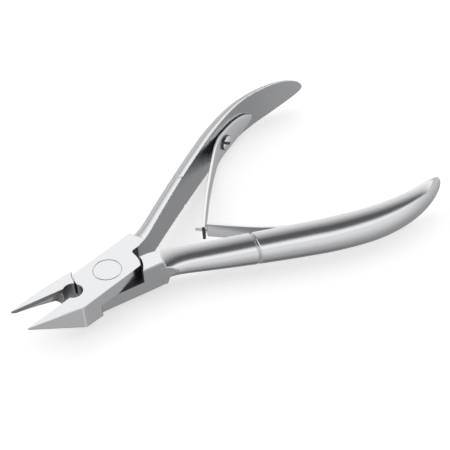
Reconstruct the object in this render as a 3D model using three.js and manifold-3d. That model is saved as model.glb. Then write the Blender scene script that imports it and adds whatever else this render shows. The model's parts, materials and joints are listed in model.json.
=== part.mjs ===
// Cuticle nipper with a lap joint: two forged steel halves on a flush rivet, and two
// interlocking leaf springs, each held to its handle by a slotted screw.
// Millimetres, +Z up. The origin is on the pivot axis at the underside of the joint.
// +X runs between the handles, and the jaws point to -X. The tool stands open, as its springs hold it.
import * as THREE from 'three';
import Module from 'manifold-3d';
import { mergeVertices } from 'three/addons/utils/BufferGeometryUtils.js';

// ---- driving dimensions ----
const OPEN_ANGLE = THREE.MathUtils.degToRad(8);     // each half, from closed to sprung open
const JOINT_HEIGHT = 8;
const MID = JOINT_HEIGHT / 2;
const LAP_GAP = 0.06;         // between the two lapped plates
const PLATE_RADIUS = 8.75;    // rounded end of a lap plate towards the handles, about the pivot
const PLATE_FRONT_RADIUS = 9.1;         // and of its end towards the jaws
const CLEAR_RADIUS = 9.4;     // shoulders that the other half's plate turns inside
const FRONT_SIDE = 5.5;       // side of the joint in line with a half's own jaw
const BACK_SIDE = 5.75;       // side of the joint in line with a half's own handle
const CUT_GAP = 0.05;         // from the closing plane to each cutting edge

const JAW_LENGTH = 27.8;
const BELLY_X = -13.6;        // widest point of the jaw
const BELLY_Y = 5.4;
const UNDER_START_X = -6;     // the underside starts to lift here
const UNDER_FULL_X = -8.5;
const UNDER_LIFT = 0.75;      // ground clearance under the jaw at its belly
const TIP_UNDER_Z = 7.4;
const FACET_Z = 6.85;         // lower edge of the upright cutting face
const HOLLOW_SLOPE = 1.56;    // fall of the hollow-ground face for each mm away from the edge
const HOLLOW_END_X = -13.2;
const RELIEF_X = -11;         // round relief hole behind the cutting edges
const RELIEF_RADIUS = 2.45;
const RELIEF_DEEP_Y = 1.0;    // centre beyond the closing plane, in the lapped layer
const RELIEF_SHALLOW_Y = 1.6; // and in the other layer

const NECK_INNER_Y = 0.25;    // inner side of the neck
const NECK_CORNER = 1.2;      // length of the curve from the lap plate's round end into the neck
const NECK_TURN_X = 11;       // the inner side turns outward here
const NECK_FLARE_X = 12.5;    // the outer side starts to flare here
const NECK_FLARE = 1.4;       // as far as it flares by NECK_END_X
const NECK_END_X = 16.9;
const NECK_TOP_END_X = 13.4;   // its outer corners end here, above and below, in slanting faces
const NECK_UNDER_END_X = 14.1;
const NECK_END_FACING = [0.9, 0.26, 0.35];
const HANDLE_START_X = 12.5;  // inside the neck
const HANDLE_END_X = 94.3;
// In plan the inner face leaves the neck at an angle and runs on in tangent arcs. A positive radius
// turns it outward and a negative one inward.
const HANDLE_LEAVES = THREE.MathUtils.degToRad(6);
const HANDLE_ARCS = [
  { from: NECK_TURN_X, radius: 25 },    // swings out of the neck
  { from: 18, radius: -600 },           // almost straight along the flank
  { from: 53, radius: -120 },           // eases into the bow
  { from: 66, radius: -45 },            // bows in round the palm to the tip
];
const START_HEIGHT = 7.7;
const FULL_HEIGHT = 11.6;
const FULLEST_X = 68;         // the handle is tallest here
const HEIGHT_FALL_RADIUS = 80;        // and falls away beyond on this radius
const HANDLE_THICKNESS = 5.2;
const THIN_FROM_X = 55;       // from here it thins, more and more quickly, to the tip
const THINNING_POWER = 1.5;
const TIP_THICKNESS = 2.55;
const NECK_SWELL = 1.3;       // extra thickness where the handle leaves the neck,
const NECK_SWELL_LENGTH = 9;  // which dies away over this length
const HANDLE_ARC_STEPS = 14;
const HANDLE_STATION = 3.5;   // sections along the handle stand this far apart
const FIRST_STATION = 2;      // with the first one close behind the start
const TIP_ROUND_X = 80;       // from here the handle's end rounds off
const TIP_FULLNESS_ABOVE = 4.5;    // the rounded end stays full above and falls away below
const TIP_FULLNESS_BELOW = 2.1;
const TIP_THIN_HEIGHT = 5;    // below this height the rounded end thins too
const TIP_STOP = 0.995;       // and it stops just short of a point, at this share of its length
const GROOVE_X = 37.6;
const GROOVE_DEPTH = 0.45;
const GROOVE_HALF = 0.65;

const RIVET_HEAD_RADIUS = 3.75;
const RIVET_SHANK_RADIUS = 2.6;
const RIVET_HEAD_EDGE = 0.3;
const RIVET_CLEARANCE = 0.05;

const SPRING_THICKNESS = 0.8;
const LEAF_TIP_HEIGHT = 4.4;
const LEAF_ROOT_HEIGHT = 7.4;
const LEAF_TAPER_SHARE = 0.6; // the leaf narrows over this share of its length
const ROOT_GAP = 0.3;         // foot and leaf each stop this far from the root line
const FOOT_FACE_GAP = 0.3;    // foot stands this far off the handle's inner face
const FOOT_LENGTH = 18.2;
const FOOT_END_HALF = 0.9;    // half the height of the foot's blunt end
const FOOT_FULLNESS = 2.5;    // how long it stays full before it narrows
const FOOT_STEPS = 12;
const CROSSING = new THREE.Vector2(30.8, -1.0);     // where the springs hook together, tool open
const SPRINGS = {
  // drop is how far below MID the foot is clamped
  upper: { side: 1, rootX: 57.3, screwAhead: 4.2, drop: 1.2 },
  lower: { side: -1, rootX: 53.6, screwAhead: 4.2, drop: 0 },
};
const SLOT_LENGTH = 2.2;
const SLOT_HEIGHT = 1.6;
const SLOTTED_END = 1.7;      // slotted leaf beyond the crossing
const TONGUE_HEIGHT = 1.0;
const TONGUE_SHOULDER = 0.8;  // tongued leaf's full width stops this far short of the crossing
const TONGUE_END = 2.5;
const SCREW_HEAD_RADIUS = 2.3;
const SCREW_HEAD_HEIGHT = 0.9;
const SCREW_HEAD_GAP = 0.05;  // the head stands this far off the foot
const SCREW_SHANK_RADIUS = 1.1;
const SCREW_SHANK_LENGTH = 3.2;
const SCREW_HOLE_CLEARANCE = 0.08;
const SCREW_HOLE_RUN_OUT = 2;
const SCREW_SLOT_WIDTH = 0.6;
const SCREW_SLOT_DEPTH = 0.6;

// ---- solids ----
const wasm = await Module();
wasm.setup();

function solid(geometry) {
  const bare = geometry.clone();
  bare.deleteAttribute('normal');
  bare.deleteAttribute('uv');
  const merged = mergeVertices(bare, 1e-4);
  return new wasm.Manifold(new wasm.Mesh({
    numProp: 3,
    vertProperties: new Float32Array(merged.attributes.position.array),
    triVerts: new Uint32Array(merged.index.array),
  }));
}

function toGeometry(manifold) {
  const mesh = manifold.getMesh();
  const geometry = new THREE.BufferGeometry();
  geometry.setAttribute('position', new THREE.BufferAttribute(mesh.vertProperties, 3));
  geometry.setIndex(new THREE.BufferAttribute(mesh.triVerts, 1));
  geometry.computeVertexNormals();
  return geometry;
}

function prismZ(shape, low, high) {
  const geometry = new THREE.ExtrudeGeometry(shape, { depth: high - low, bevelEnabled: false });
  return geometry.translate(0, 0, low);
}

// an outline in X and Z, carried along Y from yLow to yHigh
function prismY(points, yLow, yHigh) {
  const shape = new THREE.Shape(points.map(([x, z]) => new THREE.Vector2(x, z)));
  const geometry = new THREE.ExtrudeGeometry(shape, { depth: yHigh - yLow, bevelEnabled: false });
  return geometry.rotateX(Math.PI / 2).translate(0, yHigh, 0);
}

// an outline in Y and Z, carried along X from xLow to xHigh
function prismX(points, xLow, xHigh) {
  const shape = new THREE.Shape(points.map(([y, z]) => new THREE.Vector2(y, z)));
  const geometry = new THREE.ExtrudeGeometry(shape, { depth: xHigh - xLow, bevelEnabled: false });
  geometry.rotateX(Math.PI / 2).rotateZ(Math.PI / 2);
  return geometry.translate(xLow, 0, 0);
}

function discZ(x, y, radius, low, high, segments = 40) {
  const geometry = new THREE.CylinderGeometry(radius, radius, high - low, segments);
  return geometry.rotateX(Math.PI / 2).translate(x, y, (low + high) / 2);
}

// Y of the flat face inside the neck and handle
function innerFace(x) {
  let y = NECK_INNER_Y;
  let sine = Math.sin(HANDLE_LEAVES);
  HANDLE_ARCS.forEach(({ from, radius }, i) => {
    const to = i + 1 < HANDLE_ARCS.length ? HANDLE_ARCS[i + 1].from : HANDLE_END_X;
    const run = Math.min(x, to) - from;
    if (run <= 0) return;
    const next = sine + run / radius;
    y += radius * (Math.sqrt(1 - sine ** 2) - Math.sqrt(1 - next ** 2));
    sine = next;
  });
  return y;
}

// the height swells on a quarter sine wave
function fullHeight(x) {
  if (x > FULLEST_X) return FULL_HEIGHT - (x - FULLEST_X) ** 2 / (2 * HEIGHT_FALL_RADIUS);
  const share = (x - HANDLE_START_X) / (FULLEST_X - HANDLE_START_X);
  return START_HEIGHT + (FULL_HEIGHT - START_HEIGHT) * Math.sin((Math.PI / 2) * share);
}

function handleThickness(x) {
  const swell = Math.max(1 - (x - HANDLE_START_X) / NECK_SWELL_LENGTH, 0) ** 2;
  const thinned = (Math.max(x - THIN_FROM_X, 0) / (HANDLE_END_X - THIN_FROM_X)) ** THINNING_POWER;
  return HANDLE_THICKNESS + NECK_SWELL * swell - (HANDLE_THICKNESS - TIP_THICKNESS) * thinned;
}

// Y of the neck's flat outer side, which also trims the start of the handle
function neckSide(x) {
  return BACK_SIDE + NECK_FLARE * (Math.max(x - NECK_FLARE_X, 0) / (NECK_END_X - NECK_FLARE_X)) ** 2;
}

// height of the handle's section above and below the middle
function handleHalves(x) {
  const half = fullHeight(Math.min(x, TIP_ROUND_X)) / 2;
  if (x <= TIP_ROUND_X) return [half, half];
  const along = Math.min((x - TIP_ROUND_X) / (HANDLE_END_X - TIP_ROUND_X), TIP_STOP);
  return [TIP_FULLNESS_ABOVE, TIP_FULLNESS_BELOW].map((fullness) => half * Math.sqrt(1 - along ** fullness));
}

// ---- the forged half, closed, its jaw at -Y and its handle at +Y ----
function forgingOutline() {
  const rear = Math.sqrt(PLATE_RADIUS ** 2 - FRONT_SIDE ** 2);
  const front = Math.sqrt(PLATE_FRONT_RADIUS ** 2 - BACK_SIDE ** 2);
  const shape = new THREE.Shape();
  shape.moveTo(-JAW_LENGTH, -CUT_GAP);
  shape.lineTo(BELLY_X, -BELLY_Y);
  shape.lineTo(BELLY_X + 1, -FRONT_SIDE);
  shape.lineTo(rear, -FRONT_SIDE);
  shape.absarc(0, 0, PLATE_RADIUS, Math.atan2(-FRONT_SIDE, rear), -0.05, false);
  shape.quadraticCurveTo(PLATE_RADIUS, NECK_INNER_Y, PLATE_RADIUS + NECK_CORNER, NECK_INNER_Y);
  shape.lineTo(NECK_TURN_X, innerFace(NECK_TURN_X));
  shape.lineTo(NECK_END_X, innerFace(NECK_END_X) + CUT_GAP);
  shape.lineTo(NECK_END_X, BACK_SIDE + NECK_FLARE);
  shape.quadraticCurveTo((NECK_FLARE_X + NECK_END_X) / 2, BACK_SIDE, NECK_FLARE_X, BACK_SIDE);
  shape.lineTo(-front, BACK_SIDE);
  shape.absarc(0, 0, PLATE_FRONT_RADIUS, Math.atan2(BACK_SIDE, -front), Math.PI, false);
  shape.lineTo(-CLEAR_RADIUS - 1, 0);
  shape.lineTo(-CLEAR_RADIUS - 1, -CUT_GAP);
  return shape;
}

// the underside lifts off in front of the pivot and ramps up to the tip
function undersideCut() {
  const beyond = 3;
  const ramp = (TIP_UNDER_Z - UNDER_LIFT) / (BELLY_X + JAW_LENGTH);
  return prismY([
    [UNDER_START_X, 0], [UNDER_FULL_X, UNDER_LIFT], [BELLY_X, UNDER_LIFT],
    [-JAW_LENGTH - beyond, TIP_UNDER_Z + beyond * ramp], [-JAW_LENGTH - beyond, -beyond],
    [UNDER_START_X, -beyond],
  ], -JAW_LENGTH, JAW_LENGTH);
}

// the inside of the jaw falls away below an upright cutting face
function hollowCut() {
  const beyond = 2;
  const reach = (FACET_Z + beyond) / HOLLOW_SLOPE;
  return prismX([
    [-CUT_GAP, FACET_Z], [-CUT_GAP - reach, -beyond], [beyond, -beyond], [beyond, FACET_Z],
  ], -JAW_LENGTH - beyond, HOLLOW_END_X);
}

// the neck's block ends in two slanting faces, one above and one below, where the handle goes on
function neckEndCuts() {
  const size = 24;
  const [towardX, towardY, towardZ] = NECK_END_FACING;
  const corners = [[1, NECK_TOP_END_X, JOINT_HEIGHT], [-1, NECK_UNDER_END_X, 0]];
  return corners.map(([side, cornerX, cornerZ]) => {
    const tilt = new THREE.Quaternion().setFromUnitVectors(
      new THREE.Vector3(0, 0, 1),
      new THREE.Vector3(towardX, towardY, side * towardZ).normalize(),
    );
    const cut = new THREE.BoxGeometry(size, size, size).translate(0, 0, size / 2);
    return cut.applyQuaternion(tilt).translate(cornerX, BACK_SIDE, cornerZ);
  });
}

// a closed skin over rings that all have the same number of corners
function loft(rings) {
  const count = rings[0].length;
  const indices = [];
  for (let s = 0; s + 1 < rings.length; s += 1) {
    for (let i = 0; i < count; i += 1) {
      const next = (i + 1) % count;
      const a = s * count + i;
      const b = s * count + next;
      indices.push(a, b, a + count, b, b + count, a + count);
    }
  }
  const last = (rings.length - 1) * count;
  for (let i = 1; i + 1 < count; i += 1) {
    indices.push(0, i + 1, i);
    indices.push(last, last + i, last + i + 1);
  }
  const geometry = new THREE.BufferGeometry();
  geometry.setAttribute('position', new THREE.BufferAttribute(new Float32Array(rings.flat(2)), 3));
  geometry.setIndex(indices);
  return geometry;
}

// inner face flat, outer face half an ellipse, closed by a rounded end
function handleRing(x) {
  const depth = x === GROOVE_X ? GROOVE_DEPTH : 0;
  const [above, below] = handleHalves(x);
  const thick = handleThickness(x) * Math.min(1, (above + below) / TIP_THIN_HEIGHT);
  const ring = [];
  for (let i = 0; i <= HANDLE_ARC_STEPS; i += 1) {
    const angle = -Math.PI / 2 + (Math.PI * i) / HANDLE_ARC_STEPS;
    const reach = i === 0 || i === HANDLE_ARC_STEPS ? 1 : 1 - depth / thick;
    const half = angle > 0 ? above : below;
    const out = Math.min(innerFace(x) + thick * reach * Math.cos(angle), neckSide(x));
    ring.push([x, out, MID + half * reach * Math.sin(angle)]);
  }
  return ring;
}

function handleLoft() {
  const stations = [HANDLE_START_X];
  const firstX = HANDLE_START_X + FIRST_STATION;
  for (let x = firstX; x < GROOVE_X - GROOVE_HALF; x += HANDLE_STATION) stations.push(x);
  stations.push(GROOVE_X - GROOVE_HALF, GROOVE_X, GROOVE_X + GROOVE_HALF);
  for (let x = GROOVE_X + HANDLE_STATION; x < TIP_ROUND_X; x += HANDLE_STATION) stations.push(x);
  const tipSteps = 9;
  for (let i = 0; i <= tipSteps; i += 1) {
    stations.push(TIP_ROUND_X + (HANDLE_END_X - TIP_ROUND_X) * Math.sin((Math.PI / 2) * (i / tipSteps)));
  }
  return loft(stations.map(handleRing));
}

// the rivet's own shape, or the hole for it when grown by a clearance
function rivetShape(grow) {
  const head = RIVET_HEAD_RADIUS + grow;
  const shank = RIVET_SHANK_RADIUS + grow;
  const edge = RIVET_HEAD_EDGE;
  const cone = head - shank;
  const over = grow > 0 ? 1 : 0;
  const half = [
    [0, -over], [head, -over], [head, edge], [shank, edge + cone],
    [shank, JOINT_HEIGHT - edge - cone], [head, JOINT_HEIGHT - edge],
    [head, JOINT_HEIGHT + over], [0, JOINT_HEIGHT + over],
  ];
  const geometry = new THREE.LatheGeometry(half.map(([r, z]) => new THREE.Vector2(r, z)), 48);
  return geometry.rotateX(Math.PI / 2);
}

// the upper half's lap plate fills the layer above MID, and the lower half's the one below
function forgedHalf(place, screwX, drop) {
  const upper = place === 'upper';
  const otherLow = upper ? -1 : MID - LAP_GAP / 2;
  const otherHigh = upper ? MID + LAP_GAP / 2 : JOINT_HEIGHT + 1;
  const ownLow = upper ? MID : -1;
  const ownHigh = upper ? JOINT_HEIGHT + 1 : MID;
  let body = solid(prismZ(forgingOutline(), 0, JOINT_HEIGHT));
  for (const cut of neckEndCuts()) body = body.subtract(solid(cut));
  body = body.add(solid(handleLoft()));
  body = body.subtract(solid(discZ(0, 0, CLEAR_RADIUS, otherLow, otherHigh, 64)));
  body = body.subtract(solid(discZ(RELIEF_X, RELIEF_DEEP_Y, RELIEF_RADIUS, ownLow, ownHigh)));
  body = body.subtract(solid(discZ(RELIEF_X, RELIEF_SHALLOW_Y, RELIEF_RADIUS, otherLow, otherHigh)));
  body = body.subtract(solid(undersideCut()));
  body = body.subtract(solid(hollowCut()));
  const hole = rivetShape(RIVET_CLEARANCE);
  body = body.subtract(solid(hole));
  return body.subtract(solid(screwHole(screwX, drop)));
}

// ---- springs ----
function faceFrame(x) {
  const step = 0.5;
  const slope = (innerFace(x + step) - innerFace(x - step)) / (2 * step);
  const along = new THREE.Vector2(1, slope).normalize();
  const outward = new THREE.Vector2(-along.y, along.x);
  return { point: new THREE.Vector2(x, innerFace(x)), along, outward };
}

// places a part drawn with X along the handle's face and +Y into the handle
function ontoFace(geometry, x, inset) {
  const { point, along, outward } = faceFrame(x);
  const origin = point.clone().addScaledVector(outward, -inset);
  return geometry.rotateZ(Math.atan2(along.y, along.x)).translate(origin.x, origin.y, 0);
}

function screwHole(x, drop) {
  const radius = SCREW_SHANK_RADIUS + SCREW_HOLE_CLEARANCE;
  const depth = SCREW_SHANK_LENGTH + SCREW_HOLE_RUN_OUT;
  const hole = new THREE.CylinderGeometry(radius, radius, depth, 24);
  return ontoFace(hole.translate(0, depth / 2 - SCREW_HOLE_RUN_OUT, MID - drop), x, 0);
}

// the clamped end of a spring follows the handle's face and narrows to a rounded point
function springFoot(rootX, screwX, drop) {
  const middle = MID - drop;
  const rings = [];
  for (let i = 0; i <= FOOT_STEPS; i += 1) {
    const along = Math.sin((Math.PI / 2) * (i / FOOT_STEPS));
    const { point, outward } = faceFrame(rootX + ROOT_GAP + along * (FOOT_LENGTH - ROOT_GAP));
    const half = Math.max((LEAF_ROOT_HEIGHT / 2) * Math.sqrt(1 - along ** FOOT_FULLNESS), FOOT_END_HALF);
    const near = point.clone().addScaledVector(outward, -FOOT_FACE_GAP);
    const far = point.clone().addScaledVector(outward, -FOOT_FACE_GAP - SPRING_THICKNESS);
    rings.push([
      [far.x, far.y, middle - half], [near.x, near.y, middle - half],
      [near.x, near.y, middle + half], [far.x, far.y, middle + half],
    ]);
  }
  return solid(loft(rings)).subtract(solid(screwHole(screwX, drop)));
}

function rotated(point, angle) {
  return point.clone().rotateAround(new THREE.Vector2(0, 0), angle);
}

// the free leaf, tool open, drawn from its root to the crossing
function springLeaf(spring, tongued) {
  const { side, rootX, drop } = spring;
  const { point, outward } = faceFrame(rootX);
  const root = point.clone().addScaledVector(outward, -FOOT_FACE_GAP - SPRING_THICKNESS / 2);
  const rootOpen = rotated(root, OPEN_ANGLE);
  rootOpen.y *= side;
  const reach = CROSSING.clone().sub(rootOpen);
  const length = reach.length();
  const halfRoot = LEAF_ROOT_HEIGHT / 2;
  const halfTip = LEAF_TIP_HEIGHT / 2;
  const taperEnd = length * LEAF_TAPER_SHARE;
  const outline = new THREE.Shape();
  outline.moveTo(ROOT_GAP, -halfRoot - drop);
  outline.lineTo(taperEnd, -halfTip);
  if (tongued) {
    outline.lineTo(length - TONGUE_SHOULDER, -halfTip);
    outline.lineTo(length - TONGUE_SHOULDER, -TONGUE_HEIGHT / 2);
    outline.lineTo(length + TONGUE_END, -TONGUE_HEIGHT / 2);
    outline.lineTo(length + TONGUE_END, TONGUE_HEIGHT / 2);
    outline.lineTo(length - TONGUE_SHOULDER, TONGUE_HEIGHT / 2);
    outline.lineTo(length - TONGUE_SHOULDER, halfTip);
  } else {
    outline.lineTo(length + SLOTTED_END, -halfTip);
    outline.lineTo(length + SLOTTED_END, halfTip);
    const slot = new THREE.Path();
    slot.moveTo(length - SLOT_LENGTH / 2, -SLOT_HEIGHT / 2);
    slot.lineTo(length + SLOT_LENGTH / 2, -SLOT_HEIGHT / 2);
    slot.lineTo(length + SLOT_LENGTH / 2, SLOT_HEIGHT / 2);
    slot.lineTo(length - SLOT_LENGTH / 2, SLOT_HEIGHT / 2);
    outline.holes.push(slot);
  }
  outline.lineTo(taperEnd, halfTip);
  outline.lineTo(ROOT_GAP, halfRoot - drop);
  const leaf = prismZ(outline, -SPRING_THICKNESS / 2, SPRING_THICKNESS / 2).rotateX(Math.PI / 2);
  return leaf.rotateZ(Math.atan2(reach.y, reach.x)).translate(rootOpen.x, rootOpen.y, MID);
}

function springScrew(x, drop) {
  const head = new THREE.CylinderGeometry(SCREW_HEAD_RADIUS, SCREW_HEAD_RADIUS, SCREW_HEAD_HEIGHT, 32);
  head.translate(0, -SCREW_HEAD_HEIGHT / 2, 0);
  const radius = SCREW_SHANK_RADIUS;
  const shank = new THREE.CylinderGeometry(radius, radius, SCREW_SHANK_LENGTH + 1, 24);
  shank.translate(0, SCREW_SHANK_LENGTH / 2, 0);
  const slot = new THREE.BoxGeometry(SCREW_HEAD_RADIUS * 3, SCREW_SLOT_DEPTH * 2, SCREW_SLOT_WIDTH);
  slot.translate(0, -SCREW_HEAD_HEIGHT, 0);
  const whole = toGeometry(solid(head).add(solid(shank)).subtract(solid(slot)));
  const seat = SPRING_THICKNESS + FOOT_FACE_GAP + SCREW_HEAD_GAP;
  return ontoFace(whole.translate(0, 0, MID - drop), x, seat);
}

// ---- assembly ----
const STEEL = { color: 0xc9cbce, roughness: 0.35, metalness: 1 };
const SPRING_STEEL = { color: 0xb4b6ba, roughness: 0.28, metalness: 1 };
const SCREW_STEEL = { color: 0xd8dadc, roughness: 0.22, metalness: 1 };

function mesh(name, geometry, finish) {
  const made = new THREE.Mesh(geometry, new THREE.MeshStandardMaterial(finish));
  made.name = name;
  return made;
}

function mirrored(manifold) {
  return manifold.mirror([0, 1, 0]);
}

const nipper = new THREE.Group();
for (const [place, spring] of Object.entries(SPRINGS)) {
  const { side, rootX, screwAhead, drop } = spring;
  const screwX = rootX + screwAhead;
  const facing = (shape) => toGeometry(side > 0 ? shape : mirrored(shape));
  const half = new THREE.Group();
  half.rotation.z = side * OPEN_ANGLE;
  half.add(mesh(`${place}_half`, facing(forgedHalf(place, screwX, drop)), STEEL));
  half.add(mesh(`${place}_spring_foot`, facing(springFoot(rootX, screwX, drop)), SPRING_STEEL));
  half.add(mesh(`${place}_spring_screw`, facing(solid(springScrew(screwX, drop))), SCREW_STEEL));
  nipper.add(half);
  nipper.add(mesh(`${place}_spring_leaf`, springLeaf(spring, place === 'lower'), SPRING_STEEL));
}
nipper.add(mesh('pivot_rivet', rivetShape(0), STEEL));

export default nipper;
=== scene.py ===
"""Cuticle nipper: the looks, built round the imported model. Shapes are drawn in millimetres and turned
into metres when a mesh is made. A half is drawn closed, with its jaw at -Y and its handle at +Y; the
lower half is the mirror image in Y, with its lap plate in the lower layer."""

import json
import math

import bpy
import numpy as np
from mathutils import Matrix, Vector


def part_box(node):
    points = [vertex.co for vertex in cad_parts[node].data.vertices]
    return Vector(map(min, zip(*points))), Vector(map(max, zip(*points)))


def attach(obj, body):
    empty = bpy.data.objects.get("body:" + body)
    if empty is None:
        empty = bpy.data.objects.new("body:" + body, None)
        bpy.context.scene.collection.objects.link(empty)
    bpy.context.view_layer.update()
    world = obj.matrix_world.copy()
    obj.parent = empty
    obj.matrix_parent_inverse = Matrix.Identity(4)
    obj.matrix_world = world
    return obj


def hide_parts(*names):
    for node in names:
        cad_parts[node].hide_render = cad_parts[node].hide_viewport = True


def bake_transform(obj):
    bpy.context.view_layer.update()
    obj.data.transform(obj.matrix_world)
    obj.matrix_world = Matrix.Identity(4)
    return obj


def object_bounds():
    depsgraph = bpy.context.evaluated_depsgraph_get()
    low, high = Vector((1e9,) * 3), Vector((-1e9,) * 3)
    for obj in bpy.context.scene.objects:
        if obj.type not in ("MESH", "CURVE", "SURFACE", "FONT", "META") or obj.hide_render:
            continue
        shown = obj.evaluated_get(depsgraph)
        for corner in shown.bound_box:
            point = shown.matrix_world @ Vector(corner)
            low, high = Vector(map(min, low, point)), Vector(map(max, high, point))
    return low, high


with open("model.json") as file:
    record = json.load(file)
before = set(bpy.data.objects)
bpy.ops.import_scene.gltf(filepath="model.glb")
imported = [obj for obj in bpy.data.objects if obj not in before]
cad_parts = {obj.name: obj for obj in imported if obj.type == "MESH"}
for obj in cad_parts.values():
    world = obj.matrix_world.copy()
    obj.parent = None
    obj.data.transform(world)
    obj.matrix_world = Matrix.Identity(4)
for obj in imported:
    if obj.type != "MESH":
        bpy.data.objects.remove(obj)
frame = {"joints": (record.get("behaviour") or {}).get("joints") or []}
cad_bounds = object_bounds()

MM = 0.001
JOINTS = {joint["name"]: joint for joint in frame["joints"]}

# ---- driving dimensions, in millimetres ----
JOINT_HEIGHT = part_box("pivot_rivet")[1].z / MM
MID = JOINT_HEIGHT / 2
OPEN_ANGLE = math.radians(8)      # each half, from closed to sprung open
LAP_GAP = 0.06
PLATE_RADIUS = 8.75               # rounded end of a lap plate towards the handles
PLATE_FRONT_RADIUS = 9.1          # and of its end towards the jaws
PLATE_CORNER = 0.25               # rounding of its corners in plan
PLATE_END_X = 12.0                # it ends inside the neck
CLEAR_RADIUS = 9.4                # the other half's plate turns inside this
RUN_OUT = 1.0                     # how far a cutter goes on past a face
FRONT_SIDE = 5.5
BACK_SIDE = 5.75
CUT_GAP = 0.05
EDGE = 0.14                       # rounding of the ground edges
SEAM_EDGE = 0.05                  # and of the edges along the lap seams

JAW_LENGTH = 27.8
BELLY = (-13.6, -5.4)
CREASE_ROUNDING = {"upper": 0.25, "lower": 5.0}
TIP_EDGE = 0.03                   # rounding of the jaw's edges at the tip
TIP_SHARPENS = 9.0                # they grow finer over this length towards it
CUTTING_EDGE = 0.06               # rounding between the cutting face and the hollow
UNDERSIDE_SCALE = 0.93            # as BEVEL_SCALE, for the underside's slant
UNDERSIDE = ((-27.8, 7.5), (-13.4, 0.8), (-8.5, 0.6), (-6.0, 0.0), (-5.5, -1.0))
FACET_Z = 6.85
HOLLOW_SLOPE = 1.56
HOLLOW_DEPTH = 0.25
HOLLOW_RUN_OUT = 1.2              # rounding where the hollow ends
BEVEL_SCALE = 0.84                # brings the bevel's slant close to a true distance
HOLLOW_END_X = -13.2
HOLLOW_DARK_X = -15.4             # behind here the hollow runs out, with painted shade in place of its painted highlight
RELIEF_X = -11.0
RELIEF_RADIUS = 2.45
RELIEF_DEEP_Y = 1.0
RELIEF_SHALLOW_Y = 1.6
RELIEF_EDGE = 0.12

NECK_START_X = 4.0                # inside the lap plate
NECK_INNER_Y = 0.25
NECK_TURN_X = 11.0                # the inner side turns outward here
NECK_CORNER_RADIUS = 1.0          # where the neck leaves the rounded end of the lap plate
NECK_FLARE_X = 12.5
NECK_FLARE_RADIUS = 6.7           # of the flat outer side, which also trims the handle
NECK_EDGE = 0.3
NECK_END_EDGE = 0.12
NECK_TOP_END_X = 13.4             # the neck's block ends here in two steep faces, above and below
NECK_UNDER_END_X = 14.1
NECK_END_FACING = (0.90, 0.26, 0.35)
NECK_END_ROUNDING = 0.3
NECK_FILLET = 0.12
NECK_DARK_X = 11.3                # the inner side of the neck gets painted shade up to here
NECK_FLANK_END_X = 20.0           # the painted shade on the outer side's flat ends before here
FLAT_TOP_TO_X = 15.0              # the joint's flat top and underside hold the handle's start down
FLAT_UNDER_TO_X = 13.5            # up to these, and then rise off it at FLAT_RISE
FLAT_RISE = 0.5

HANDLE_START_X = 12.5
HANDLE_END_X = 94.2
# In plan the inner face leaves the neck at an angle and runs on in tangent arcs, each (from, radius).
# A positive radius turns it outward: out of the neck, almost straight, easing into the bow, then round
# the palm to the tip.
HANDLE_LEAVES = math.radians(6)
HANDLE_ARCS = ((NECK_TURN_X, 25), (18, -600), (53, -120), (66, -45))
START_HEIGHT = 7.8
FULL_HEIGHT = 11.6
FULLEST_X = 68.0                  # the handle is tallest here
HEIGHT_FALL_RADIUS = 80.0         # and falls away beyond on this radius
HANDLE_THICKNESS = 5.1
THIN_FROM_X = 55.0                # from here it thins, more and more quickly, to the tip
THINNING_POWER = 1.5
TIP_THICKNESS = 2.5
NECK_SWELL = 1.3                  # extra thickness where the handle leaves the neck
NECK_SWELL_LENGTH = 9.0
HANDLE_FULLNESS = 1.9             # 2 would make the section half an ellipse
TIP_ROUND_X = 80.0
TIP_FULLNESS_ABOVE = 4.5          # the rounded end stays full above and falls away below
TIP_FULLNESS_BELOW = 2.1
TIP_THINS = 3.5                   # how late the rounded end thins
TIP_NOSE = 0.6                    # rounding of its blunt end
GROOVE_X = 37.6
GROOVE_DEPTH = 0.65
GROOVE_HALF = 0.5

RIVET_HEAD_RADIUS = 3.75
RIVET_SHANK_RADIUS = 2.6
RIVET_HEAD_EDGE = 0.3
RIVET_CHAMFER = 0.1
RIVET_CLEARANCE = 0.05

SPRING_THICKNESS = 0.8
FOOT_FACE_GAP = 0.3
FOOT_LENGTH = 17.8
FOOT_END_HALF = 0.85              # half the height of its blunt end
FOOT_FULLNESS = 2.6               # how long it stays full before it narrows
SPRING_ROOT_HALF = 3.7
SPRING_TIP_HALF = 2.2
TONGUE_HALF = 0.5
TONGUE_SHOULDER = 0.8
TONGUE_END = 2.4
SLOTTED_END = 1.6
SLOT_HALF = (1.1, 0.8)
LEAF_BOW = 0.5
BEND_BEFORE = 3.0                 # the strip turns from foot to leaf from this far before the root
BEND_AFTER = 4.0                  # to this far past it
LEAF_TAPER = 0.62                 # the leaf narrows over this share of its length
ROOT_X = {"upper": 57.3, "lower": 53.6}
SCREW_AHEAD = 4.2
DROP = {"upper": 1.2, "lower": 0.0}  # of the clamped foot and its screw below the middle
CROSSING = Vector((30.8, -1.0))
SCREW_HEAD_RADIUS = 2.25
SCREW_HEAD_HEIGHT = 0.65
SCREW_DOME_RADIUS = 5.0
SCREW_SLOT = (0.8, 0.6)           # width and depth
SCREW_CHAMFER = (0.12, 0.15)      # width and height at the head's rim
SCREW_UNDERCUT = 0.05
SCREW_TURN = math.radians(-38)    # of the slot, up from the handle's line


# ---- signed distances, negative inside ----
def both(a, b, r=0.0):
    """Where two shapes overlap, with the edge between them rounded to r."""
    return np.minimum(-r, np.maximum(a, b)) + np.hypot(np.maximum(r + a, 0), np.maximum(r + b, 0))


def either(a, b, r=0.0):
    """Two shapes joined, with a fillet of r between them."""
    return -both(-a, -b, r)


def without(a, b, r=0.0):
    """A shape with another cut away."""
    return both(a, -b, r)


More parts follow.
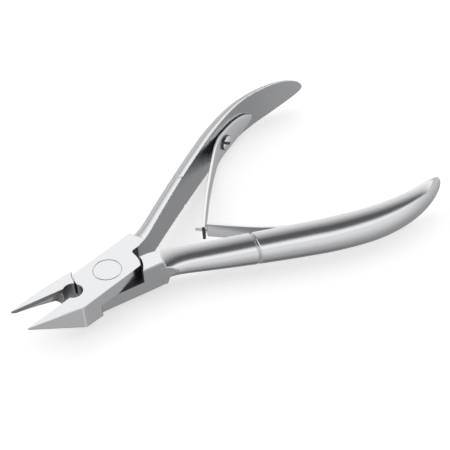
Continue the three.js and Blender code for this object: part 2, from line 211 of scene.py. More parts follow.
def inner_face(x):
    """Y of the flat face inside the neck and handle."""
    y = NECK_INNER_Y
    sine = math.sin(HANDLE_LEAVES)
    ends = [start for start, _ in HANDLE_ARCS[1:]] + [HANDLE_END_X + 1]
    for (start, radius), end in zip(HANDLE_ARCS, ends):
        then = sine + (np.clip(x, start, end) - start) / radius
        y = y + radius * (math.sqrt(1 - sine**2) - np.sqrt(1 - then**2))
        sine += (end - start) / radius
    return y


def full_height(x):
    """The handle's height, which swells on a quarter sine wave and then falls on an arc."""
    share = np.clip((x - HANDLE_START_X) / (FULLEST_X - HANDLE_START_X), 0, 1)
    swell = (FULL_HEIGHT - START_HEIGHT) * np.sin(math.pi / 2 * share)
    return START_HEIGHT + swell - np.maximum(x - FULLEST_X, 0) ** 2 / (2 * HEIGHT_FALL_RADIUS)


def thickness(x):
    swell = np.clip(1 - (x - HANDLE_START_X) / NECK_SWELL_LENGTH, 0, 1) ** 2
    thinned = (np.maximum(x - THIN_FROM_X, 0) / (HANDLE_END_X - THIN_FROM_X)) ** THINNING_POWER
    return HANDLE_THICKNESS + NECK_SWELL * swell - (HANDLE_THICKNESS - TIP_THICKNESS) * thinned


def neck_side(x):
    """Y of the neck's flat outer side."""
    return BACK_SIDE + np.maximum(x - NECK_FLARE_X, 0) ** 2 / (2 * NECK_FLARE_RADIUS)


def handle_body(x, y, z):
    """The handle's outer face, nearly half an ellipse in section, closed by a rounded end. The small
    floors under the roots and the slope keep the divisions finite."""
    along = np.clip((x - TIP_ROUND_X) / (HANDLE_END_X - TIP_ROUND_X), 0, 1)
    fullness = np.where(z > MID, TIP_FULLNESS_ABOVE, TIP_FULLNESS_BELOW)
    half = full_height(x) / 2 * np.sqrt(np.maximum(1 - along**fullness, 1e-4))
    thick = thickness(x) * np.sqrt(np.maximum(1 - along**TIP_THINS, 1e-3))
    across = np.abs(y - inner_face(x)) / thick
    up = np.abs(z - MID) / half
    power = HANDLE_FULLNESS
    level = across**power + up**power - 1
    slope = power * np.hypot(across ** (power - 1) / thick, up ** (power - 1) / half)
    groove = GROOVE_DEPTH * np.maximum(1 - np.abs(x - GROOVE_X) / GROOVE_HALF, 0)
    outer = level / np.maximum(slope, 0.05) + groove
    trimmed = both(outer, y - neck_side(x), NECK_FILLET)
    return np.maximum(both(trimmed, x - HANDLE_END_X, TIP_NOSE), HANDLE_START_X - x)


def neck_block(x, y, z):
    """The square neck, whose outer corners end in two steep faces."""
    block = both(y - neck_side(x), both(-z, z - JOINT_HEIGHT, EDGE), NECK_EDGE)
    facing = Vector(NECK_END_FACING).normalized()
    across = (y - BACK_SIDE) * facing.y
    above = (x - NECK_TOP_END_X) * facing.x + across + (z - JOINT_HEIGHT) * facing.z
    below = (x - NECK_UNDER_END_X) * facing.x + across - z * facing.z
    block = both(block, both(above, below, NECK_END_ROUNDING), NECK_END_EDGE)
    return np.maximum(block, NECK_START_X - x)


def arm(x, y, z):
    whole = either(neck_block(x, y, z), handle_body(x, y, z), NECK_FILLET)
    roof = z - JOINT_HEIGHT - FLAT_RISE * np.maximum(x - FLAT_TOP_TO_X, 0)
    floor = -z - FLAT_RISE * np.maximum(x - FLAT_UNDER_TO_X, 0)
    whole = np.maximum(whole, np.maximum(roof, floor))
    return both(whole, inner_face(x) - y, EDGE)


def jaw_edge(x):
    """Rounding of the jaw's edges, finer towards the tip."""
    share = np.clip((x + JAW_LENGTH) / TIP_SHARPENS, 0, 1)
    return TIP_EDGE + (EDGE - TIP_EDGE) * share


def jaw(x, y, z, crease):
    """A wedge with a flat top, an upright cutting face and a hollow-ground inside."""
    run = Vector((BELLY[0] + JAW_LENGTH, BELLY[1] + CUT_GAP)).normalized()
    outer = (x + JAW_LENGTH) * run.y - (y + CUT_GAP) * run.x
    plan = both(both(outer, -FRONT_SIDE - y, crease), y + CUT_GAP, TIP_EDGE)
    edge = jaw_edge(x)
    wedge = both(plan, both(-z, z - JOINT_HEIGHT, edge), edge)
    drop = FACET_Z - z
    share = np.clip(drop / FACET_Z, 0, 1)
    bevel = (y + CUT_GAP + drop / HOLLOW_SLOPE) * BEVEL_SCALE + HOLLOW_DEPTH * 4 * share * (1 - share)
    wedge = both(wedge, either(bevel, HOLLOW_END_X - x, HOLLOW_RUN_OUT), CUTTING_EDGE)
    return np.maximum(wedge, x)


def plate_radius(x):
    return np.where(x < 0, PLATE_FRONT_RADIUS, PLATE_RADIUS)


def lap_plate(x, y, z, low, high):
    """The lapped layer of the joint: its ends are rounded about the pivot and run into the neck."""
    disc = np.hypot(x, y) - plate_radius(x)
    neck = np.maximum(NECK_INNER_Y - y, -x)
    plan = either(disc, neck, NECK_CORNER_RADIUS)
    plan = both(plan, both(-FRONT_SIDE - y, y - BACK_SIDE, EDGE), PLATE_CORNER)
    return both(np.maximum(plan, x - PLATE_END_X), both(low - z, z - high, SEAM_EDGE), SEAM_EDGE)


def forging(x, y, z, place):
    """One half of the tool, without its screw and rivet holes."""
    upper = place == "upper"
    gap = LAP_GAP / 2
    own = (MID + gap, JOINT_HEIGHT) if upper else (0.0, MID - gap)
    other = (-RUN_OUT, MID + gap) if upper else (MID - gap, JOINT_HEIGHT + RUN_OUT)
    body = either(jaw(x, y, z, CREASE_ROUNDING[place]), arm(x, y, z))
    turning = np.maximum(np.hypot(x, y) - CLEAR_RADIUS, np.maximum(other[0] - z, z - other[1]))
    body = without(body, turning, SEAM_EDGE)
    body = either(body, lap_plate(x, y, z, *own))
    deep = np.hypot(x - RELIEF_X, y - RELIEF_DEEP_Y) - RELIEF_RADIUS
    shallow = np.hypot(x - RELIEF_X, y - RELIEF_SHALLOW_Y) - RELIEF_RADIUS
    split = z - MID if upper else MID - z
    body = without(body, np.maximum(deep, -split), RELIEF_EDGE)
    body = without(body, np.maximum(shallow, split), RELIEF_EDGE)
    under_x, under_z = zip(*UNDERSIDE)
    under = np.interp(x, under_x, under_z) - np.maximum(x - under_x[-1], 0)
    return both(body, (under - z) * UNDERSIDE_SCALE, jaw_edge(x))


# ---- meshes ----
def skin(field, xs, ys, zs, steps=5):
    """Vertices and quads over the surface where field is 0. Each grid cell that the surface crosses
    holds one vertex, which then moves on to the surface."""
    inside = field(xs[:, None, None], ys[None, :, None], zs[None, None, :]) < 0
    nx, ny, nz = inside.shape
    corners = [
        inside[i:nx - 1 + i, j:ny - 1 + j, k:nz - 1 + k]
        for i in (0, 1) for j in (0, 1) for k in (0, 1)
    ]
    crossed = np.logical_or.reduce(corners) & ~np.logical_and.reduce(corners)
    number = np.full(crossed.shape, -1)
    number[crossed] = np.arange(crossed.sum())
    cell = np.nonzero(crossed)
    low = np.stack([axis[index] for axis, index in zip((xs, ys, zs), cell)], 1)
    high = np.stack([axis[index + 1] for axis, index in zip((xs, ys, zs), cell)], 1)
    points = (low + high) / 2
    reach = (high - low) * 0.75
    centre = points.copy()
    step = 0.01
    for _ in range(steps):
        value = field(*points.T)
        slope = np.zeros_like(points)
        for axis in range(3):
            shift = np.zeros(3)
            shift[axis] = step
            slope[:, axis] = field(*(points + shift).T) - field(*(points - shift).T)
        slope /= 2 * step
        size = np.maximum((slope**2).sum(1), 0.05)
        points = points - slope * (value / size)[:, None]
        points = np.clip(points, centre - reach, centre + reach)
    quads = []
    for axis in range(3):
        solid = np.moveaxis(inside, axis, 0)
        cells = np.moveaxis(number, axis, 0)
        a, b = solid[:-1, 1:-1, 1:-1], solid[1:, 1:-1, 1:-1]
        for leaving in (True, False):
            i, j, k = np.nonzero((a & ~b) if leaving else (~a & b))
            ring = [cells[i, j, k], cells[i, j + 1, k], cells[i, j + 1, k + 1], cells[i, j, k + 1]]
            forward = leaving == (axis != 1)
            quads.append(np.stack(ring if forward else ring[::-1], 1))
    return points, np.concatenate(quads)


def new_mesh(name, points, faces):
    """A mesh object from points in millimetres."""
    mesh = bpy.data.meshes.new(name)
    mesh.from_pydata((np.asarray(points) * MM).tolist(), [], [list(map(int, f)) for f in faces])
    mesh.validate()
    mesh.update()
    piece = bpy.data.objects.new(name, mesh)
    bpy.context.scene.collection.objects.link(piece)
    return piece


def apply_modifiers(piece):
    """Turns a piece's modifiers into its mesh."""
    graph = bpy.context.evaluated_depsgraph_get()
    made = bpy.data.meshes.new_from_object(piece.evaluated_get(graph))
    piece.modifiers.clear()
    piece.data = made


def cut(piece, *cutters):
    """Cuts each cutter out of a piece and removes it."""
    for cutter in cutters:
        change = piece.modifiers.new("cut", "BOOLEAN")
        change.operation = "DIFFERENCE"
        change.solver = "EXACT"
        change.object = cutter
    bpy.context.view_layer.update()
    apply_modifiers(piece)
    for cutter in cutters:
        bpy.data.objects.remove(cutter)


def finish_faces(piece, *materials, zones=None, angle=32):
    """Smooth shading with sharp edges kept, and the piece's materials. Given the faces' centres in
    millimetres and their normals, zones says which material each face has."""
    faces = piece.data.polygons
    faces.foreach_set("use_smooth", [True] * len(faces))
    piece.data.set_sharp_from_angle(angle=math.radians(angle))
    piece.data.materials.clear()
    for material in materials:
        piece.data.materials.append(material)
    if zones:
        centres, normals = np.empty(3 * len(faces)), np.empty(3 * len(faces))
        faces.foreach_get("center", centres)
        faces.foreach_get("normal", normals)
        faces.foreach_set("material_index", zones(centres.reshape(-1, 3) / MM, normals.reshape(-1, 3)))


def lathe(name, profile, segments=96):
    """A solid turned about Z from (radius, z) pairs whose ends lie on the axis."""
    points = [(0, 0, profile[0][1])]
    faces = []
    turns = np.linspace(0, 2 * math.pi, segments, endpoint=False)
    for radius, z in profile[1:-1]:
        points += [(radius * math.cos(t), radius * math.sin(t), z) for t in turns]
    points.append((0, 0, profile[-1][1]))
    last = len(points) - 1
    for s in range(segments):
        n = (s + 1) % segments
        faces.append((0, 1 + n, 1 + s))
        faces.append((last, last - segments + s, last - segments + n))
        for ring in range(len(profile) - 3):
            a = 1 + ring * segments
            faces.append((a + s, a + n, a + segments + n, a + segments + s))
    return new_mesh(name, points, faces)


# ---- materials ----
def steel(name, colour, roughness, grain=1.0, turn=0.0):
    """Ground steel: fine lines along X, turned with the piece, over a soft cloudy satin. The noise
    scales are in cells for each metre."""
    line_scale = (120, 3000, 3000)
    cloud_scale = 900
    roughness_spread = 0.035
    darkest = 0.94
    material = bpy.data.materials.new(name)
    material.use_nodes = True
    nodes, links = material.node_tree.nodes, material.node_tree.links
    shader = nodes["Principled BSDF"]
    shader.inputs["Metallic"].default_value = 1.0
    place = nodes.new("ShaderNodeTexCoord")
    lines_map = nodes.new("ShaderNodeMapping")
    lines_map.inputs["Rotation"].default_value = (0, 0, turn)
    lines_map.inputs["Scale"].default_value = line_scale
    lines = nodes.new("ShaderNodeTexNoise")
    lines.inputs["Detail"].default_value = 3
    lines.inputs["Scale"].default_value = 1.0
    cloud = nodes.new("ShaderNodeTexNoise")
    cloud.inputs["Scale"].default_value = cloud_scale
    cloud.inputs["Detail"].default_value = 4
    links.new(place.outputs["Object"], lines_map.inputs["Vector"])
    links.new(lines_map.outputs["Vector"], lines.inputs["Vector"])
    links.new(place.outputs["Object"], cloud.inputs["Vector"])
    mixed = nodes.new("ShaderNodeMix")
    mixed.inputs["Factor"].default_value = 0.4
    links.new(lines.outputs["Fac"], mixed.inputs["A"])
    links.new(cloud.outputs["Fac"], mixed.inputs["B"])
    tone = nodes.new("ShaderNodeMapRange")
    tone.inputs["From Min"].default_value = 0.3
    tone.inputs["From Max"].default_value = 0.7
    tone.inputs["To Min"].default_value = roughness - roughness_spread
    tone.inputs["To Max"].default_value = roughness + roughness_spread
    links.new(mixed.outputs["Result"], tone.inputs["Value"])
    links.new(tone.outputs["Result"], shader.inputs["Roughness"])
    shade = nodes.new("ShaderNodeMix")
    shade.data_type = "RGBA"
    shade.inputs["A"].default_value = (*[c * darkest for c in colour], 1)
    shade.inputs["B"].default_value = (*colour, 1)
    links.new(mixed.outputs["Result"], shade.inputs["Factor"])
    links.new(shade.outputs["Result"], shader.inputs["Base Color"])
    bump = nodes.new("ShaderNodeBump")
    bump.inputs["Strength"].default_value = 0.08 * grain
    bump.inputs["Distance"].default_value = 0.00004
    links.new(mixed.outputs["Result"], bump.inputs["Height"])
    links.new(bump.outputs["Normal"], shader.inputs["Normal"])
    return material


# ---- the forged halves ----
def grid_lines(*runs):
    """Grid lines in runs of (start, end, spacing)."""
    lines = [np.arange(start, end, spacing) for start, end, spacing in runs]
    return np.concatenate(lines + [[runs[-1][1]]])


def place_in_world(points, place):
    """From the drawing's closed position to the open tool."""
    side = 1 if place == "upper" else -1
    turn = side * OPEN_ANGLE
    x, y, z = np.asarray(points, float).T
    y = y * side
    c, s = math.cos(turn), math.sin(turn)
    return np.stack([x * c - y * s, x * s + y * c, z], 1)


def face_frame(x):
    """A point on the handle's inner face, the direction along it and the one into the handle."""
    slope = float(inner_face(np.array(x + 0.5)) - inner_face(np.array(x - 0.5)))
    along = Vector((1, slope)).normalized()
    return Vector((x, float(inner_face(np.array(x))))), along, Vector((-along.y, along.x))


def place_in_drawing(points, place):
    """From the open tool back to the drawing's closed position."""
    side = 1 if place == "upper" else -1
    turn = -side * OPEN_ANGLE
    x, y, z = points.T
    return x * math.cos(turn) - y * math.sin(turn), (x * math.sin(turn) + y * math.cos(turn)) * side, z


def half_zones(centres, normals, place):
    """0 for the satin outside, 1 for painted shade on the faces of the lap joint, 2 for painted shade in
    the relief notch, on the upright cutting face and where the hollow runs out, 3 for painted highlights
    (a brighter steel on the hollow below the cutting edge, the jaw's crease and the steep end of the
    neck), and 4 for painted shade (a darker steel on the flats inside the handle and outside the neck).
    The small bare numbers are tolerances in millimetres, wide enough to take in or leave out the rounded
    edges, and limits on the parts of a normal."""
    x, y, z = place_in_drawing(centres, place)
    facing_x, facing_y, _ = place_in_drawing(normals, place)
    radius = np.hypot(x, y)
    upper = place == "upper"
    own_side = (z - MID) if upper else (MID - z)
    wall = np.abs(normals[:, 2]) < 0.75
    edge_or_wall = np.abs(normals[:, 2]) < 0.92
    zones = np.zeros(len(x), int)
    inside = (facing_y < -0.5) & (np.abs(y - inner_face(x)) < 0.2) & (x > NECK_DARK_X)
    flank = (facing_y > 0.7) & (np.abs(y - neck_side(x)) < 0.3) & (np.abs(x) < NECK_FLANK_END_X)
    # painted shade: the darker flat steel inside the handle and on the neck's outer flat
    zones[(np.abs(normals[:, 2]) < 0.3) & (inside | flank)] = 4
    lapped = (radius < CLEAR_RADIUS + 0.08) & (own_side < 0.06) & (edge_or_wall | (np.abs(z - MID) < 0.2))
    between_sides = (y > 0.15 - FRONT_SIDE) & (y < BACK_SIDE - 0.15)
    at_end = np.abs(radius - plate_radius(x)) < 0.15
    plate_end = edge_or_wall & at_end & (own_side > 0) & between_sides
    neck_inside = wall & (x > PLATE_RADIUS - 0.3) & (x < NECK_DARK_X) & (facing_y < -0.3) & (y > -1.5)
    # painted shade in the lap joint's seams and the neck's inner corner
    zones[lapped | plate_end | (neck_inside & (y < 2))] = 1
    relief_y = np.where(own_side > 0, RELIEF_DEEP_Y, RELIEF_SHALLOW_Y)
    from_relief = np.abs(np.hypot(x - RELIEF_X, y - relief_y) - RELIEF_RADIUS)
    cutting_face = wall & (y > -0.15) & (x < RELIEF_X) & (z > FACET_Z - 0.1)
    # painted shade in the relief notch and on the cutting face
    zones[cutting_face | (wall & (from_relief < 0.12))] = 2
    bevel_y = -CUT_GAP - (FACET_Z - z) / HOLLOW_SLOPE
    hollow = (np.abs(y - bevel_y) < 0.6) & (x < HOLLOW_END_X + 1.0) & (z < FACET_Z - 0.1) & (y < -0.25)
    run_out = (facing_x < -0.3) & (np.abs(x - HOLLOW_END_X) < 1.6) & (y > -4) & (y < -CUT_GAP)
    # painted shade on the hollow and its run-out; the hollow's front gets a painted highlight below
    zones[hollow | run_out] = 2
    hollow &= x < HOLLOW_DARK_X
    neck_end = (facing_x > 0.6) & (z > MID + 0.5) & (np.abs(x - NECK_TOP_END_X - 0.7) < 1.2)
    # painted highlights on the front of the hollow and the neck's steep end
    zones[hollow | neck_end] = 3
    if upper:
        # and a painted highlight along the upper jaw's crease
        zones[wall & (np.hypot(x - BELLY[0], y - BELLY[1]) < 0.26)] = 3
    return zones


def rivet_profile(grow):
    """The rivet, or the hole for it when grown by a clearance. The hole runs out past both faces."""
    head, shank = RIVET_HEAD_RADIUS + grow, RIVET_SHANK_RADIUS + grow
    neck = (shank, RIVET_HEAD_EDGE + head - shank)
    if grow:
        wide = head + RIVET_CHAMFER + RUN_OUT
        low = [(0, -RUN_OUT), (wide, -RUN_OUT)]
    else:
        low = [(0, 0), (head - RIVET_CHAMFER, 0)]
    low += [(head, RIVET_CHAMFER), (head, RIVET_HEAD_EDGE), neck]
    return low + [(r, JOINT_HEIGHT - z) for r, z in reversed(low)]


def make_half(place, *materials):
    # fine along the tip, even over the joint, close over the groove and open along the handle
    cell = 0.15
    xs = grid_lines((-28.1, -26, cell / 2), (-26, 18.5, cell), (18.5, 36.6, 0.5), (36.6, 38.6, 0.1),
                    (38.6, 84, 0.5), (84, 94.8, 0.2))
    ys = grid_lines((-6.3, 25.9, cell))
    zs = grid_lines((-2.4, 10.4, cell))
    points, quads = skin(lambda x, y, z: forging(x, y, z, place), xs, ys, zs)
    if place == "lower":
        quads = quads[:, ::-1]
    piece = new_mesh(f"{place}_forging", place_in_world(points, place), quads)
    cut(piece, lathe("rivet_hole", rivet_profile(RIVET_CLEARANCE)))
    finish_faces(piece, *materials, zones=lambda *faces: half_zones(*faces, place))
    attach(piece, f"{place}_arm")
    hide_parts(f"{place}_half")
    return piece


def make_rivet(material):
    piece = lathe("rivet", rivet_profile(0))
    finish_faces(piece, material)
    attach(piece, "lower_arm")
    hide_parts("pivot_rivet")


# ---- springs and their screws ----
def spring_path(place):
    """Points along a spring's middle from the far end of its foot to the crossing, and beyond it,
    each with its distance past the root. In plan, tool open."""
    side = 1 if place == "upper" else -1
    def foot(ahead):
        point, _, outward = face_frame(ROOT_X[place] + ahead)
        point = point - outward * (FOOT_FACE_GAP + SPRING_THICKNESS / 2)
        return Vector(place_in_world([(point.x, point.y, 0)], place)[0][:2])
    root = foot(0)
    reach = CROSSING - root
    length = reach.length
    ahead = reach.normalized()
    bulge = Vector((ahead.y, -ahead.x)) * side
    def leaf(distance):
        share = distance / length
        return root + ahead * distance + bulge * LEAF_BOW * 4 * share * (1 - share)
    path = [(-u, foot(u)) for u in np.linspace(FOOT_LENGTH, BEND_BEFORE, 27)]
    for t in np.linspace(0, 1, 13)[1:-1]:
        corner = foot(BEND_BEFORE) * (1 - t) ** 2 + root * 2 * t * (1 - t) + leaf(BEND_AFTER) * t**2
        path.append(((BEND_BEFORE + BEND_AFTER) * t - BEND_BEFORE, corner))
    beyond = SLOTTED_END if place == "upper" else TONGUE_END
    stops = list(np.linspace(BEND_AFTER, length - TONGUE_SHOULDER - 0.1, 40))
    stops += list(length + np.linspace(-TONGUE_SHOULDER, beyond, 12))
    path += [(d, leaf(d)) for d in stops]
    return path, length


def half_height(distance, length, tongued):
    """Half the strip's height: an oval foot, a taper along the leaf, then the tongue."""
    if distance < 0:
        share = min(-distance / FOOT_LENGTH, 1)
        return max(SPRING_ROOT_HALF * math.sqrt(max(1 - share**FOOT_FULLNESS, 0)), FOOT_END_HALF)
    if tongued and distance >= length - TONGUE_SHOULDER - 0.01:
        return TONGUE_HALF
    share = min(distance / (LEAF_TAPER * length), 1)
    return SPRING_ROOT_HALF + (SPRING_TIP_HALF - SPRING_ROOT_HALF) * share * (2 - share)


def foot_share(distance, length):
    """1 along the foot, falling evenly to 0 where the leaf stops narrowing."""
    return 1 - min(max(distance / (LEAF_TAPER * length), 0), 1)


def strip_section(half, rounding=0.14, steps=3):
    """A thin upright rectangle with rounded corners, as (across, up) pairs."""
    thick = SPRING_THICKNESS / 2 - rounding
    tall = max(half - rounding, 0.02)
    section = []
    for quarter, (sx, sz) in enumerate(((1, 1), (-1, 1), (-1, -1), (1, -1))):
        for s in range(steps + 1):
            angle = math.pi / 2 * (quarter + s / steps)
            across = sx * thick + rounding * math.cos(angle)
            section.append((across, sz * tall + rounding * math.sin(angle)))
    return section


def make_spring(place, satin, dark):
    path, length = spring_path(place)
    points, faces = [], []
    count = len(strip_section(1))
    for i, (distance, here) in enumerate(path):
        before, after = path[max(i - 1, 0)][1], path[min(i + 1, len(path) - 1)][1]
        ahead = (after - before).normalized()
        across = Vector((-ahead.y, ahead.x))
        half = half_height(distance, length, place == "lower")
        middle = MID - DROP[place] * foot_share(distance, length)
        for a, up in strip_section(half):
            spot = here + across * a
            points.append((spot.x, spot.y, middle + up))
    for ring in range(len(path) - 1):
        for s in range(count):
            a, b = ring * count + s, ring * count + (s + 1) % count
            faces.append((a, a + count, b + count, b))
    faces.append(tuple(range(count)))
    faces.append(tuple(reversed(range((len(path) - 1) * count, len(path) * count))))
    piece = new_mesh(f"{place}_spring", points, faces)
    if place == "upper":
        cut(piece, slot_cutter(path, length))
    ends = [path[0][1], path[-1][1]]

    def zones(centres, _):
        """1 for painted shade on the sheared ends, 0 elsewhere."""
        apart = [np.hypot(centres[:, 0] - end.x, centres[:, 1] - end.y) for end in ends]
        return (np.minimum(*apart) < 0.05).astype(int)

    finish_faces(piece, satin, dark, zones=zones)
    joint = Vector(JOINTS[f"{place}_leaf_bend"]["pos_m"])
    tip = Vector((CROSSING.x * MM, CROSSING.y * MM, joint.z))
    ahead = (tip - joint).normalized()
    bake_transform(piece)
    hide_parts(f"{place}_spring_foot", f"{place}_spring_leaf")


def box_mesh(name, size, turn, middle):
    """A box with its own X turned about Z."""
    x, y, z = (s / 2 for s in size)
    corners = [(a * x, b * y, c * z) for a in (-1, 1) for b in (-1, 1) for c in (-1, 1)]
    faces = [(0, 1, 3, 2), (4, 6, 7, 5), (0, 4, 5, 1), (2, 3, 7, 6), (0, 2, 6, 4), (1, 5, 7, 3)]
    spin = Matrix.Rotation(turn, 3, "Z")
    return new_mesh(name, [spin @ Vector(c) + Vector(middle) for c in corners], faces)


def slot_cutter(path, length):
    here = min(path, key=lambda stop: abs(stop[0] - length))[1]
    root = min(path, key=lambda stop: abs(stop[0] - BEND_AFTER))[1]
    turn = math.atan2((here - root).y, (here - root).x)
    return box_mesh("slot", (2 * SLOT_HALF[0], 3, 2 * SLOT_HALF[1]), turn, (here.x, here.y, MID))


def make_screw(place, polished, dark):
    point, along, outward = face_frame(ROOT_X[place] + SCREW_AHEAD)
    seat = point - outward * (FOOT_FACE_GAP + SPRING_THICKNESS)
    up = MID - DROP[place]
    base, away, ahead = (
        Vector(end) for end in place_in_world(
            [(*seat, up), (*(seat - outward), up), (*(seat + along), up)], place)
    )
    away, ahead = away - base, ahead - base
    slot_way = (ahead * math.cos(SCREW_TURN) + Vector((0, 0, math.sin(SCREW_TURN)))).normalized()
    radius, height, dome = SCREW_HEAD_RADIUS, SCREW_HEAD_HEIGHT, SCREW_DOME_RADIUS
    seated = radius - SCREW_UNDERCUT
    bottom = -SPRING_THICKNESS
    profile = [(0, bottom), (seated, bottom), (seated, 0.0)]
    profile += [(radius, SCREW_UNDERCUT), (radius, height - SCREW_CHAMFER[1])]
    rim = radius - SCREW_CHAMFER[0]
    crown = math.sqrt(dome**2 - rim**2)
    for share in np.linspace(1, 0.1, 8):
        profile.append((rim * share, height + math.sqrt(dome**2 - (rim * share) ** 2) - crown))
    profile.append((0, height + dome - crown))
    piece = lathe(f"{place}_screw", profile, 64)
    width, depth = SCREW_SLOT
    cut(piece, box_mesh("slot", (12, width, 2 * depth), 0, (0, 0, height + dome - crown)))
    turn = Matrix((slot_way, away.cross(slot_way), away)).transposed().to_4x4()
    piece.data.transform(Matrix.Translation(base * MM) @ turn)

    def zones(centres, normals):
        """1 for painted shade on the sides of the head, and on the sides and floor of its slot."""
        tolerance = 0.05
        above = (centres - np.array(base)) @ np.array(away)
        side = np.abs(normals @ np.array(away)) < 0.5
        return (side | (above < height - tolerance)).astype(int)

    finish_faces(piece, polished, dark, zones=zones)
    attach(piece, f"{place}_arm")
    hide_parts(f"{place}_spring_screw")


# ---- camera, light and floor ----
CAMERA_AZIMUTH = math.radians(-35)
CAMERA_ELEVATION = math.radians(42)
CAMERA_ROLL = math.radians(-5)
CAMERA_DISTANCE = 430
CAMERA_TARGET = Vector((36, -3.5, 4))
CAMERA_LENS = 127.5


def camera_axes():
    a, e = CAMERA_AZIMUTH, CAMERA_ELEVATION
    back = Vector((math.sin(a) * math.cos(e), -math.cos(a) * math.cos(e), math.sin(e)))
    right = Vector((math.cos(a), math.sin(a), 0))
    up = back.cross(right)
    c, s = math.cos(CAMERA_ROLL), math.sin(CAMERA_ROLL)
    return c * right + s * up, c * up - s * right, back


def make_camera():
    right, up, back = camera_axes()
    camera = bpy.data.objects.new("camera", bpy.data.cameras.new("camera"))
    bpy.context.scene.collection.objects.link(camera)
    camera.data.lens = CAMERA_LENS
    camera.data.sensor_width = 36
    camera.data.clip_start = 0.01
    camera.data.clip_end = 20
    turn = Matrix((right, up, back)).transposed().to_4x4()
    place = (CAMERA_TARGET + back * CAMERA_DISTANCE) * MM
    camera.matrix_world = Matrix.Translation(place) @ turn
    bpy.context.scene.camera = camera


# The studio's panels, as (angle, brightness) where each begins or ends, with an even blend between.
# Below the horizon the angle goes down to -90. Above, it goes from the front over the top to the back.
STUDIO = (
    (-90, 0.1), (-70, 0.3), (-42, 0.42), (0, 0.78),   # the table, darker towards the tool
    (13, 1.2), (24, 1.2),                 # a long strip light in front
    (36, 0.12), (62, 0.1),                # a dark gap over it
    (100, 0.8), (140, 1.2), (149, 1.2),   # a white ceiling, brightest behind
    (165, 0.55), (180, 0.55),             # a grey back wall
)


TABLE_NEAR_LIFT = 1.3              # the table is this much lighter on the camera's side


def make_world():
    world = bpy.data.worlds.new("studio")
    bpy.context.scene.world = world
    world.use_nodes = True
    nodes, links = world.node_tree.nodes, world.node_tree.links
    nodes.clear()
    place = nodes.new("ShaderNodeTexCoord")
    front = nodes.new("ShaderNodeVectorMath")
    front.operation = "DOT_PRODUCT"
    front.inputs[1].default_value = (math.sin(CAMERA_AZIMUTH), -math.cos(CAMERA_AZIMUTH), 0)
    split = nodes.new("ShaderNodeSeparateXYZ")
    angle = nodes.new("ShaderNodeMath")
    angle.operation = "ARCTAN2"
    dip = nodes.new("ShaderNodeMath")
    dip.operation = "ARCSINE"
    above = nodes.new("ShaderNodeMath")
    above.operation = "GREATER_THAN"
    above.inputs[1].default_value = 0.0
    chosen = nodes.new("ShaderNodeMix")
    scaled = nodes.new("ShaderNodeMapRange")
    scaled.inputs["From Min"].default_value = math.radians(STUDIO[0][0])
    scaled.inputs["From Max"].default_value = math.radians(STUDIO[-1][0])
    ramp = nodes.new("ShaderNodeValToRGB")
    brightest = max(level for _, level in STUDIO)
    stops = ramp.color_ramp.elements
    while len(stops) < len(STUDIO):
        stops.new(0.5)
    for stop, (degrees, level) in zip(stops, STUDIO):
        stop.position = (degrees - STUDIO[0][0]) / (STUDIO[-1][0] - STUDIO[0][0])
        stop.color = (level / brightest, level / brightest, level / brightest * 1.01, 1)
    near = nodes.new("ShaderNodeMapRange")
    near.inputs["From Min"].default_value = 0.0
    near.inputs["From Max"].default_value = 0.5
    near.inputs["To Min"].default_value = brightest
    near.inputs["To Max"].default_value = brightest * TABLE_NEAR_LIFT
    strength = nodes.new("ShaderNodeMix")
    strength.inputs["B"].default_value = brightest
    light = nodes.new("ShaderNodeBackground")
    output = nodes.new("ShaderNodeOutputWorld")
    links.new(place.outputs["Generated"], front.inputs[0])
    links.new(place.outputs["Generated"], split.inputs["Vector"])
    links.new(split.outputs["Z"], angle.inputs[0])
    links.new(front.outputs["Value"], angle.inputs[1])
    links.new(split.outputs["Z"], dip.inputs[0])
    links.new(split.outputs["Z"], above.inputs[0])
    links.new(above.outputs["Value"], chosen.inputs["Factor"])
    links.new(dip.outputs["Value"], chosen.inputs["A"])
    links.new(angle.outputs["Value"], chosen.inputs["B"])
    links.new(chosen.outputs["Result"], scaled.inputs["Value"])
    links.new(scaled.outputs["Result"], ramp.inputs["Fac"])
    links.new(ramp.outputs["Color"], light.inputs["Color"])
    links.new(front.outputs["Value"], near.inputs["Value"])
    links.new(near.outputs["Result"], strength.inputs["A"])
    links.new(above.outputs["Value"], strength.inputs["Factor"])
    links.new(strength.outputs["Result"], light.inputs["Strength"])
    links.new(light.outputs["Background"], output.inputs["Surface"])


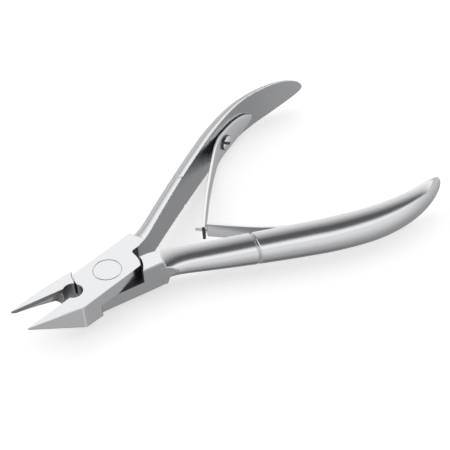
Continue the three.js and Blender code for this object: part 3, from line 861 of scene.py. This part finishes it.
def make_floor():
    """A pale floor under the lowest points, kept out of the steel's reflections."""
    size = 3000
    low = cad_bounds[0][2] / MM - 0.05
    corners = [(-size, -size, low), (size, -size, low), (size, size, low), (-size, size, low)]
    floor = new_mesh("floor", corners, [(0, 1, 2, 3)])
    material = bpy.data.materials.new("floor_white")
    material.use_nodes = True
    shader = material.node_tree.nodes["Principled BSDF"]
    shader.inputs["Base Color"].default_value = (0.9, 0.9, 0.9, 1)
    shader.inputs["Roughness"].default_value = 0.9
    shader.inputs["Emission Color"].default_value = (1, 1, 1, 1)
    shader.inputs["Emission Strength"].default_value = 0.5
    floor.data.materials.append(material)
    floor.visible_glossy = False


bpy.context.scene.view_settings.view_transform = "Standard"
make_camera()
make_world()
make_floor()
forged = {place: steel(f"forged_{place}", (0.76, 0.765, 0.775), 0.2, 1.6, turn)
          for place, turn in (("upper", -OPEN_ANGLE), ("lower", OPEN_ANGLE))}
# painted shade: near-black steel in the lap joint's seams, on the springs' sheared ends and on the
# screws' head sides and slots
painted_shade_dark_steel = steel("lap_painted_shade", (0.1, 0.1, 0.105), 0.4, 1.0)
# painted shade: a darker steel in the relief notch, on the cutting face and where the hollow runs out
painted_shade_notch_steel = steel("notch_painted_shade", (0.32, 0.325, 0.33), 0.35, 1.0)
# painted highlight: a brighter, rougher steel on the hollow, the jaw's crease and the neck's steep end
painted_highlight_steel = steel("hollow_painted_highlight", (0.93, 0.93, 0.935), 0.5, 1.0)
# painted shade: a darker steel on the flats inside the handle and outside the neck
painted_shade_flat_steel = steel("flank_painted_shade", (0.52, 0.525, 0.535), 0.27, 1.2)
rivet_steel = steel("rivet_ground", (0.76, 0.765, 0.775), 0.2, 1.0)
spring_steel = steel("spring_satin", (0.86, 0.865, 0.875), 0.3, 0.9)
screw_steel = steel("screw_polished", (0.9, 0.905, 0.91), 0.15, 0.3)
for place in ("upper", "lower"):
    make_half(place, forged[place], painted_shade_dark_steel, painted_shade_notch_steel, painted_highlight_steel, painted_shade_flat_steel)
    make_spring(place, spring_steel, painted_shade_dark_steel)
    make_screw(place, screw_steel, painted_shade_dark_steel)
make_rivet(rivet_steel)
